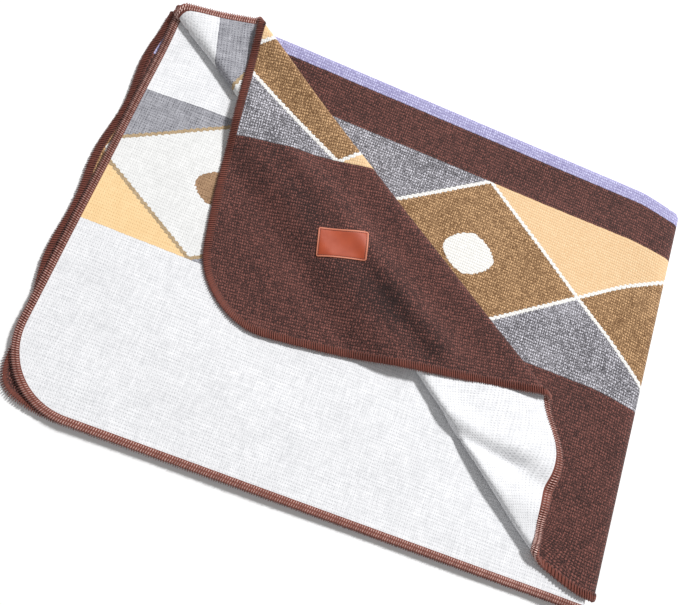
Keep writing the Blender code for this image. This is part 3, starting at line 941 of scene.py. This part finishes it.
def painted_fold_shade(graph, uv):
    """Return how much darker the painted shade of the flap's soft folds makes each listed place."""
    a, b, _ = graph.split(uv)
    shade = 0.0
    for mark in PAINTED_FOLD_SHADE:
        start_a, start_b, step_a, step_b, length = line_axes(mark)
        along = (a - start_a) * step_a + (b - start_b) * step_b
        beside = ((a - start_a) * step_b - (b - start_b) * step_a) / mark["width"]
        beyond = (abs(along - length / 2) - length / 2).math("MAXIMUM", 0.0) / mark["width"]
        spread = (beside * beside + beyond * beyond) * -1.0
        shade = spread.math("EXPONENT") * mark["depth"] + shade
    return shade


def slubs(graph, uv):
    """Return the long thick threads of both directions, from -0.5 to 0.5."""
    a, b, _ = graph.split(uv)
    along_width = graph.noise(graph.join(a * SLUB_STRETCH, b), SLUB_SCALE)
    along_length = graph.noise(graph.join(a, b * SLUB_STRETCH), SLUB_SCALE)
    return (along_width + along_length) * 0.5 - 0.5


def finish_cloth_face(graph, shader, figures, colours, show, height, bump):
    """Colour the knots and the gaps between them, and set the woven relief."""
    colour = graph.mix(show.clamped(), paint_figures(graph, figures, colours, 0),
                       paint_figures(graph, figures, colours, 1))
    graph.feed(shader.inputs["Base Color"], colour)
    add_relief(graph, shader, height, bump, WEAVE_DEPTH)


def dark_face_finish():
    """The dark face: small light knots on a dark ground."""
    material, graph, shader = new_finish("dark_face", roughness=0.9, sheen=0.06)
    cells = woven_cells(graph)
    fibres, worn, clouds = woven_unevenness(graph, cells)
    colours = {"ground": BROWN, "lilac": LILAC, "warm": TAN, "cool": GREY, "diamond": OCHRE,
               "line": WHITE, "blob": WHITE}
    knots = cells["knot"] * (DARK_SHOW["knot"] + cells["chance"] * DARK_SHOW["chance"])
    show = knots + DARK_SHOW["base"] + fibres * DARK_SHOW["fibres"]
    # The painted shade of the flap's soft folds darkens the knots at the listed places
    show = show + worn * DARK_SHOW["worn"] + clouds * DARK_SHOW["clouds"] - painted_fold_shade(graph, cells["uv"])
    height = cells["knot"] + fibres
    finish_cloth_face(graph, shader, woven_figures(cells), colours, show, height, DARK_BUMP)
    return material


def pale_face_finish():
    """The reverse: the same figures in exchanged colours, closely woven with small holes."""
    material, graph, shader = new_finish("pale_face", roughness=0.9, sheen=0.15)
    cells = woven_cells(graph)
    fibres, worn, clouds = woven_unevenness(graph, cells)
    figures = woven_figures(cells, REVERSE_BLOB_SCALE)
    figures["warm"] = 1.0 - figures["warm"]
    colours = {"ground": PALE, "lilac": PALE, "warm": PALE_TAN, "cool": PALE_GREY,
               "diamond": PALE_WHITE, "line": TAUPE, "blob": PALE_OCHRE}
    holes = cells["hole"] * (PALE_SHOW["hole"] + cells["chance"] * PALE_SHOW["chance"])
    show = PALE_SHOW["base"] - holes + fibres * PALE_SHOW["fibres"] + worn * PALE_SHOW["worn"]
    show = show + clouds * PALE_SHOW["clouds"] + slubs(graph, cells["uv"]) * PALE_SHOW["slubs"]
    height = fibres * PALE_FIBRE_HEIGHT - cells["hole"]
    finish_cloth_face(graph, shader, figures, colours, show, height, PALE_BUMP)
    return material


def hem_finish():
    """The cloth between the overlock stitches."""
    material, graph, shader = new_finish("hem_brown", roughness=0.85, sheen=0.2)
    fibres = graph.noise(object_place(graph), HEM_FIBRE_SCALE)
    graph.feed(shader.inputs["Base Color"], graph.mix(fibres, HEM_BROWN, YARN_BROWN))
    add_relief(graph, shader, fibres, strength=0.5, distance=0.0006)
    return material


def stitch_finish():
    """Reddish brown yarn whose turns on the pale side catch the light in two rows of dashes."""
    material, graph, shader = new_finish("hem_yarn", roughness=0.6, sheen=0.3)
    along = attribute(graph, "along")
    crown = attribute(graph, "crown")
    tone = attribute(graph, "tone")
    # Painted highlights: two rows of pale glints on the turns, strongest on the yarn's crown
    glint_rows = shown_band(along, **INNER_GLINT_ROW) + shown_band(along, **OUTER_GLINT_ROW) * OUTER_SHARE
    raised = ((crown - CROWN_START) * CROWN_RISE).clamped()
    pale = glint_rows * raised * (GLINT_BASE + tone * GLINT_BASE)
    dark_end = (DARK_END - along * DARK_END_FALL).clamped()
    # Painted highlight: the yarn is lighter on its crown
    lit = (tone * YARN_SHARE + crown * YARN_SHARE + YARN_BASE - dark_end).clamped()
    ground = graph.mix(lit, HEM_BROWN, YARN_BROWN)
    graph.feed(shader.inputs["Base Color"], graph.mix(pale.clamped(), ground, PAINTED_GLINT))
    fibres = graph.noise(object_place(graph), YARN_FIBRE_SCALE)
    add_relief(graph, shader, fibres, strength=0.4, distance=0.0004)
    return material


def leather_finish():
    """Grained leather, redder in patches and worn pale along its edges."""
    material, graph, shader = new_finish("label_leather", roughness=0.5)
    u, v, _ = graph.split(graph.node("ShaderNodeUVMap", {"uv_map": "flat"}))
    half_width, half_height = LABEL_SIZE[0] / 2, LABEL_SIZE[1] / 2
    to_edge = (half_width - abs(u - half_width)).math("MINIMUM", half_height - abs(v - half_height))
    place = object_place(graph)
    grain = graph.node("ShaderNodeTexVoronoi", {"feature": "F1"}, {"Vector": place, "Scale": GRAIN_SCALE},
                       "Distance")
    patches = graph.noise(place, PATCH_SCALE, 4.0)
    worn = (WORN_BORDER - to_edge / LABEL_GROOVE_INSET + (patches - 0.5) * WORN_PATCHES).clamped()
    colour = graph.mix(worn * WORN_SHARE, graph.mix(patches, LEATHER, LEATHER_DARK), LEATHER_WORN)
    pressed = (1.0 - abs(to_edge - LABEL_GROOVE_INSET) / LABEL_GROOVE_WIDTH).clamped()
    graph.feed(shader.inputs["Base Color"], graph.mix(pressed * PRESSED_SHARE, colour, THREAD))
    graph.feed(shader.inputs["Roughness"], LEATHER_GLOSS + patches * LEATHER_DULLING)
    add_relief(graph, shader, grain, strength=0.35, distance=0.0004)
    return material


def thread_finish():
    """The dark thread of the label's sewing."""
    material, graph, shader = new_finish("label_thread", roughness=0.6, sheen=0.2)
    fibres = graph.noise(object_place(graph), THREAD_FIBRE_SCALE)
    graph.feed(shader.inputs["Base Color"], graph.mix(fibres, THREAD, LEATHER_DARK))
    return material


def make_finishes():
    """Return every finish by the name of what it is laid on."""
    return {
        "dark_face": dark_face_finish(),
        "pale_face": pale_face_finish(),
        "hem": hem_finish(),
        "stitch": stitch_finish(),
        "leather": leather_finish(),
        "thread": thread_finish(),
    }


# Stitches

def stitch_tree():
    """Build the tree that sets a yarn loop on every guide point, along its own axes."""
    tree = bpy.data.node_groups.new("yarn_loops", "GeometryNodeTree")
    face = tree.interface
    face.new_socket(name="Geometry", in_out="OUTPUT", socket_type="NodeSocketGeometry")
    face.new_socket(name="Guide", in_out="INPUT", socket_type="NodeSocketGeometry")
    for name in ("Reach", "Height", "Opening", "Sweep", "Yarn width", "Yarn thickness", "Slant",
                 "Unevenness"):
        face.new_socket(name=name, in_out="INPUT", socket_type="NodeSocketFloat")
    face.new_socket(name="Seed", in_out="INPUT", socket_type="NodeSocketInt")
    face.new_socket(name="Finish", in_out="INPUT", socket_type="NodeSocketMaterial")
    graph = Graph(tree)
    group = tree.nodes.new("NodeGroupInput")
    given = {socket.name: Value(graph, socket) for socket in group.outputs if socket.name}

    # One loop: an arc of an ellipse, with how far along it and how near its crown each point lies
    arc = graph.node("GeometryNodeCurveArc", {"mode": "RADIUS"}, {
        "Resolution": LOOP_POINTS, "Radius": 1.0, "Start Angle": given["Opening"],
        "Sweep Angle": given["Sweep"]}, "Curve")
    arc = graph.node("GeometryNodeTransform", None, {
        "Geometry": arc, "Rotation": (math.pi / 2, 0.0, 0.0),
        "Scale": graph.join(given["Reach"], given["Height"], 1.0)})
    factor = graph.node("GeometryNodeSplineParameter", None, None, "Factor")
    arc = graph.node("GeometryNodeStoreNamedAttribute", {"data_type": "FLOAT", "domain": "POINT"}, {
        "Geometry": arc, "Name": "along", "Value": factor})
    profile = graph.node("GeometryNodeCurvePrimitiveCircle", {"mode": "RADIUS"}, {
        "Resolution": YARN_SIDES, "Radius": 0.5}, "Curve")
    round_it = graph.node("GeometryNodeSplineParameter", None, None, "Factor")
    crown = abs(abs(round_it - 0.5) * 4.0 - 1.0)
    profile = graph.node("GeometryNodeStoreNamedAttribute", {"data_type": "FLOAT", "domain": "POINT"}, {
        "Geometry": profile, "Name": "crown", "Value": crown})
    profile = graph.node("GeometryNodeTransform", None, {
        "Geometry": profile, "Scale": graph.join(given["Yarn thickness"], given["Yarn width"], 1.0)})
    loop = graph.node("GeometryNodeCurveToMesh", None, {
        "Curve": arc, "Profile Curve": profile, "Fill Caps": True})

    # Its axes: inward across the hem, and out of the dark face
    inward, outward = [graph.node("GeometryNodeInputNamedAttribute", {"data_type": "FLOAT_VECTOR"},
                                  {"Name": name}, "Attribute") for name in ("inward", "outward")]
    turn = graph.node("FunctionNodeAxesToRotation", {"primary_axis": "Z", "secondary_axis": "X"}, {
        "Primary Axis": outward, "Secondary Axis": inward})
    uneven = graph.node("FunctionNodeRandomValue", {"data_type": "FLOAT"}, {
        "Min": -1.0, "Max": 1.0, "Seed": given["Seed"]}, "Value")
    slant = given["Slant"] + uneven * given["Unevenness"]
    lean = graph.node("FunctionNodeEulerToRotation", None, {"Euler": graph.join(0.0, 0.0, slant)})
    turn = graph.node("FunctionNodeRotateRotation", {"rotation_space": "LOCAL"}, {
        "Rotation": turn, "Rotate By": lean})
    size = graph.node("FunctionNodeRandomValue", {"data_type": "FLOAT"}, {
        "Min": LOOP_SMALLEST, "Max": LOOP_LARGEST, "Seed": given["Seed"] + 1.0}, "Value")
    loops = graph.node("GeometryNodeInstanceOnPoints", None, {
        "Points": given["Guide"], "Instance": loop, "Rotation": turn, "Scale": graph.join(size, size, size)})
    tone = graph.node("FunctionNodeRandomValue", {"data_type": "FLOAT"}, {
        "Min": 0.0, "Max": 1.0, "Seed": given["Seed"] + 2.0}, "Value")
    loops = graph.node("GeometryNodeStoreNamedAttribute", {"data_type": "FLOAT", "domain": "INSTANCE"}, {
        "Geometry": loops, "Name": "tone", "Value": tone})
    mesh = graph.node("GeometryNodeRealizeInstances", None, {"Geometry": loops})
    mesh = graph.node("GeometryNodeSetShadeSmooth", None, {"Geometry": mesh})
    mesh = graph.node("GeometryNodeSetMaterial", None, {"Geometry": mesh, "Material": given["Finish"]})
    output = tree.nodes.new("NodeGroupOutput")
    tree.links.new(mesh.socket, output.inputs[0])
    return tree


def make_loops(name, tree, places, inward, outward, sizes):
    """Set loops on guide points and return them as a plain mesh object."""
    guide = bpy.data.meshes.new(name + "_guide")
    guide.from_pydata(places.tolist(), [], [])
    for attribute, values in (("inward", inward), ("outward", outward)):
        layer = guide.attributes.new(attribute, "FLOAT_VECTOR", "POINT")
        layer.data.foreach_set("vector", values.ravel())
    holder = add_object(name + "_guide", guide)
    modifier = holder.modifiers.new("loops", "NODES")
    modifier.node_group = tree
    for item in tree.interface.items_tree:
        if item.in_out == "INPUT" and item.name in sizes:
            modifier[item.identifier] = sizes[item.name]
    depsgraph = bpy.context.evaluated_depsgraph_get()
    mesh = bpy.data.meshes.new_from_object(holder.evaluated_get(depsgraph), depsgraph=depsgraph)
    mesh.name = name
    bpy.data.objects.remove(holder, do_unlink=True)
    bpy.data.meshes.remove(guide)
    return add_object(name, mesh)


def unit(vectors):
    """Return vectors of length 1."""
    return vectors / np.linalg.norm(vectors, axis=-1, keepdims=True)


def make_hem_stitches(tree, finishes):
    """Make the overlock loops that run round the hem."""
    outline = np.array(rounded_outline(*CLOTH_SHAPE, STITCH_PITCH))
    core_a = np.clip(outline[:, 0], CORNER_RADIUS, CLOTH_WIDTH - CORNER_RADIUS)
    core_b = np.clip(outline[:, 1], CORNER_RADIUS, CLOTH_LENGTH - CORNER_RADIUS)
    inward = unit(np.stack([core_a, core_b], axis=-1) - outline)
    centre = outline + inward * STITCH_INSET
    ahead = centre + inward * STITCH_INSET
    places = fold_cloth(centre[:, 0], centre[:, 1])
    inward_3d = unit(fold_cloth(ahead[:, 0], ahead[:, 1]) - fold_cloth(outline[:, 0], outline[:, 1]))
    outward = face_normals(centre[:, 0], centre[:, 1])
    places[:, 2] = np.maximum(places[:, 2], STITCH_LOWEST)
    sizes = {
        "Reach": STITCH_REACH, "Height": STITCH_HEIGHT, "Opening": STITCH_OPENING,
        "Sweep": 2 * math.pi - 2 * STITCH_OPENING, "Yarn width": YARN_WIDTH,
        "Yarn thickness": YARN_THICKNESS, "Slant": STITCH_SLANT, "Unevenness": STITCH_UNEVENNESS,
        "Seed": STITCH_SEED, "Finish": finishes["stitch"],
    }
    return make_loops("hem_stitches", tree, places, inward_3d, outward, sizes)


def make_label_sewing(tree, finishes):
    """Make the running stitches in the label's pressed line."""
    width, height = LABEL_SIZE
    line = np.array(rounded_outline(width, height, SEWING_CORNER, THREAD_PITCH, LABEL_GROOVE_INSET))
    following = np.roll(line, -1, axis=0)
    middle = (line + following) / 2
    a, b = label_to_flat(middle[:, 0], middle[:, 1])
    next_a, next_b = label_to_flat(following[:, 0], following[:, 1])
    normal = face_normals(a, b)
    rise = CLOTH_THICKNESS / 2 + LABEL_CLEARANCE + LABEL_THICKNESS - LABEL_GROOVE_DEPTH
    places = fold_cloth(a, b) + normal * rise
    along = unit(fold_cloth(next_a, next_b) - fold_cloth(a, b))
    sizes = {
        "Reach": THREAD_LENGTH, "Height": THREAD_HEIGHT, "Opening": 0.0, "Sweep": math.pi,
        "Yarn width": THREAD_WIDTH, "Yarn thickness": THREAD_WIDTH, "Slant": 0.0,
        "Unevenness": THREAD_UNEVENNESS, "Seed": THREAD_SEED, "Finish": finishes["thread"],
    }
    return make_loops("label_sewing", tree, places, along, normal, sizes)


# Stage

def make_floor():
    """Set a plain pale floor under the blanket."""
    mesh = bpy.data.meshes.new("floor")
    half = FLOOR_SIZE / 2
    corners = [(-half, -half, 0), (half, -half, 0), (half, half, 0), (-half, half, 0)]
    mesh.from_pydata(corners, [], [(0, 1, 2, 3)])
    material, graph, shader = new_finish("floor", roughness=0.9)
    graph.feed(shader.inputs["Base Color"], FLOOR)
    mesh.materials.append(material)
    add_object("floor", mesh)


def camera_axes():
    """Return the camera's right, up and back directions."""
    flat = math.cos(CAMERA_ELEVATION)
    back = Vector((math.sin(CAMERA_AZIMUTH) * flat, -math.cos(CAMERA_AZIMUTH) * flat,
                   math.sin(CAMERA_ELEVATION)))
    right = Vector((math.cos(CAMERA_AZIMUTH), math.sin(CAMERA_AZIMUTH), 0.0))
    up = back.cross(right)
    rolled_right = math.cos(CAMERA_ROLL) * right + math.sin(CAMERA_ROLL) * up
    rolled_up = -math.sin(CAMERA_ROLL) * right + math.cos(CAMERA_ROLL) * up
    return rolled_right, rolled_up, back


def make_camera():
    """Set the camera where the photograph was taken from."""
    right, up, back = camera_axes()
    data = bpy.data.cameras.new("camera")
    data.sensor_fit = "HORIZONTAL"
    data.sensor_width = SENSOR_WIDTH
    data.lens = FOCAL_PIXELS / PHOTO_WIDTH * SENSOR_WIDTH
    obj = add_object("camera", data)
    turn = Matrix((right, up, back)).transposed().to_4x4()
    obj.matrix_world = Matrix.Translation(CAMERA_TARGET + back * CAMERA_DISTANCE) @ turn
    bpy.context.scene.camera = obj


def make_light():
    """Set a soft key light at the picture's upper right and an even pale surround."""
    right, up, _ = camera_axes()
    level = right * math.cos(KEY_TURN) + up * math.sin(KEY_TURN)
    level.z = 0.0
    level.normalize()
    direction = level * math.cos(KEY_ELEVATION) + Vector((0.0, 0.0, math.sin(KEY_ELEVATION)))
    data = bpy.data.lights.new("key", "AREA")
    data.shape = "DISK"
    data.size = KEY_SIZE
    data.energy = KEY_POWER
    obj = add_object("key", data)
    obj.location = direction * KEY_DISTANCE
    obj.rotation_euler = direction.to_track_quat("Z", "Y").to_euler()
    world = bpy.data.worlds.new("surround")
    world.use_nodes = True
    background = world.node_tree.nodes["Background"]
    background.inputs["Color"].default_value = (1.0, 1.0, 1.0, 1.0)
    background.inputs["Strength"].default_value = WORLD_STRENGTH
    bpy.context.scene.world = world
    bpy.context.scene.view_settings.view_transform = "Standard"


def main():
    """Build the stage, the finishes and the pieces, attach the pieces to the root body and hide the imported
    parts.
    """
    make_camera()
    make_light()
    make_floor()
    finishes = make_finishes()
    tree = stitch_tree()
    cloth = make_cloth(finishes)
    label = make_label(finishes)
    stitches = make_hem_stitches(tree, finishes)
    sewing = make_label_sewing(tree, finishes)
    for piece in (cloth, label, stitches, sewing):
        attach(piece, "root")
    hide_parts("blanket")
    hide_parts("label")


main()
